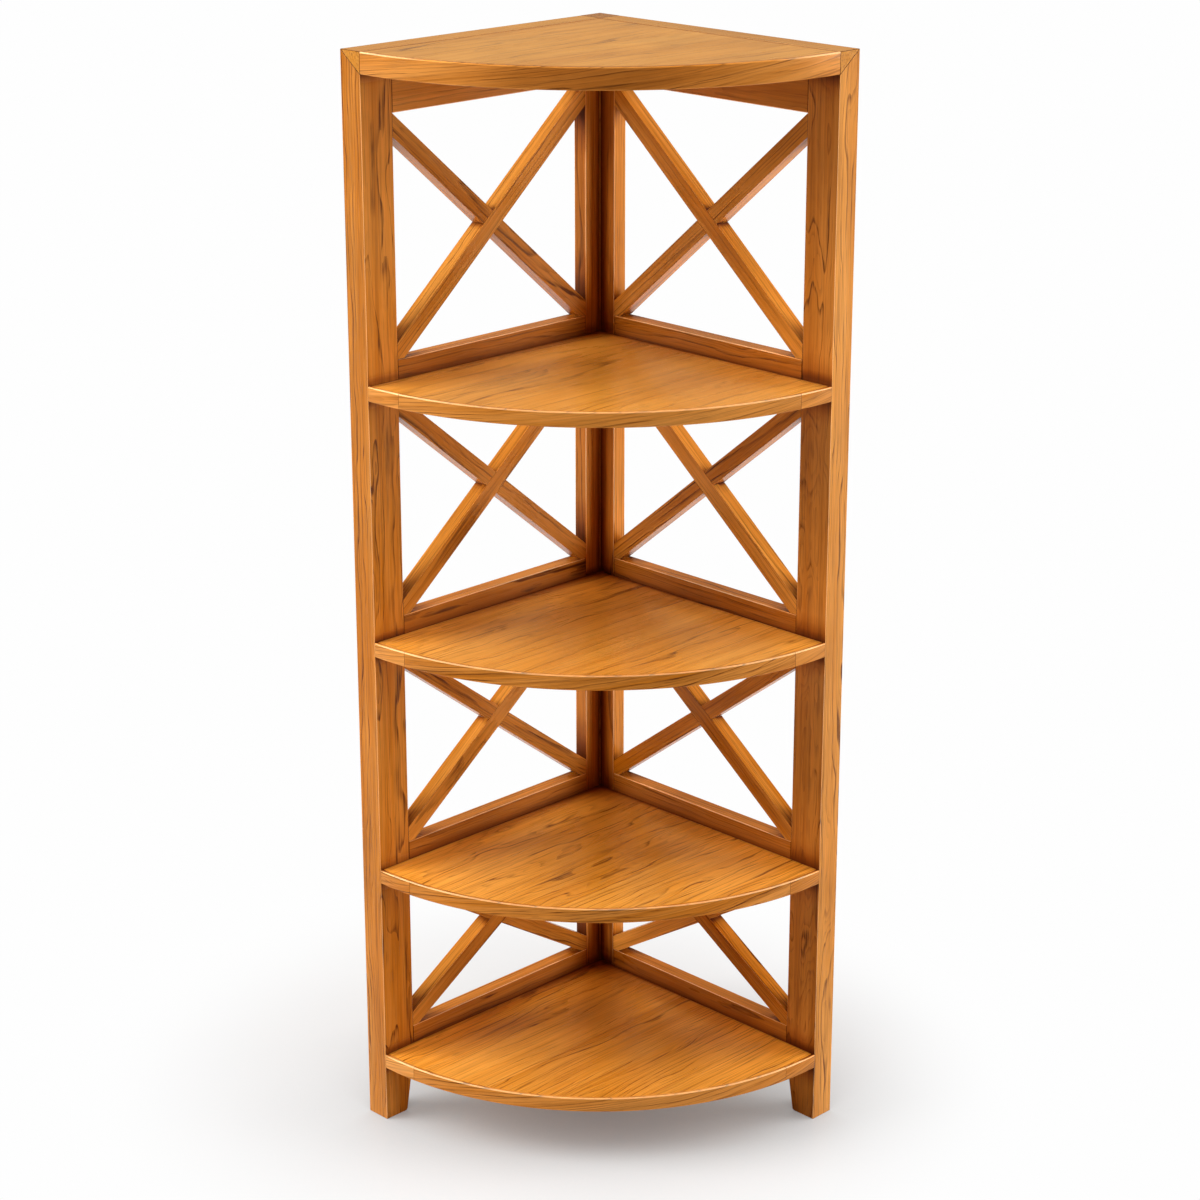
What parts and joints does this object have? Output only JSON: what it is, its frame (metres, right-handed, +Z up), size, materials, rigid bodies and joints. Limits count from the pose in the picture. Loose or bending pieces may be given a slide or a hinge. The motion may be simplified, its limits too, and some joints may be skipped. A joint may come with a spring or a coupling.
{
  "type": "corner shelf unit",
  "caption": "Quarter-round corner shelf unit in solid wood: lattice side frames of crossed laths, rounded shelves and a thick rounded top between square posts.",
  "frame": {"origin": "centre of the unit's square outline, on the floor", "axes": "+Z up; the walls lie at -X and +Y, and the open, rounded side looks towards +X and -Y"},
  "size_m": [0.4, 0.4, 1.3],
  "materials": {
    "post_wood": "teak, satin varnish",
    "rail_wood": "teak, satin varnish",
    "brace_wood": "teak, satin varnish",
    "border_wood": "teak, satin varnish",
    "panel_wood": "teak, satin varnish",
    "lipping_wood": "teak, satin varnish"
  },
  "bodies": {
    "root": {"post_front_left": "post_wood", "post_front_right": "post_wood", "post_corner": "post_wood", "stile_left": "rail_wood", "rail_top_left": "rail_wood", "rail_left_1": "rail_wood", "rail_left_2": "rail_wood", "rail_left_3": "rail_wood", "rail_left_4": "rail_wood", "brace_left_1_rising": "brace_wood", "brace_left_1_falling": "brace_wood", "brace_left_2_rising": "brace_wood", "brace_left_2_falling": "brace_wood", "brace_left_3_rising": "brace_wood", "brace_left_3_falling": "brace_wood", "brace_left_4_rising": "brace_wood", "brace_left_4_falling": "brace_wood", "top_border_left": "border_wood", "stile_right": "rail_wood", "rail_top_right": "rail_wood", "rail_right_1": "rail_wood", "rail_right_2": "rail_wood", "rail_right_3": "rail_wood", "rail_right_4": "rail_wood", "brace_right_1_rising": "brace_wood", "brace_right_1_falling": "brace_wood", "brace_right_2_rising": "brace_wood", "brace_right_2_falling": "brace_wood", "brace_right_3_rising": "brace_wood", "brace_right_3_falling": "brace_wood", "brace_right_4_rising": "brace_wood", "brace_right_4_falling": "brace_wood", "top_border_right": "border_wood", "top_panel": "panel_wood", "top_lipping": "lipping_wood", "shelf_1_panel": "panel_wood", "shelf_1_lipping": "lipping_wood", "shelf_1_lipping_end_left": "lipping_wood", "shelf_1_lipping_end_right": "lipping_wood", "shelf_2_panel": "panel_wood", "shelf_2_lipping": "lipping_wood", "shelf_2_lipping_end_left": "lipping_wood", "shelf_2_lipping_end_right": "lipping_wood", "shelf_3_panel": "panel_wood", "shelf_3_lipping": "lipping_wood", "shelf_3_lipping_end_left": "lipping_wood", "shelf_3_lipping_end_right": "lipping_wood", "shelf_4_panel": "panel_wood", "shelf_4_lipping": "lipping_wood", "shelf_4_lipping_end_left": "lipping_wood", "shelf_4_lipping_end_right": "lipping_wood"}
  },
  "joints": []
}
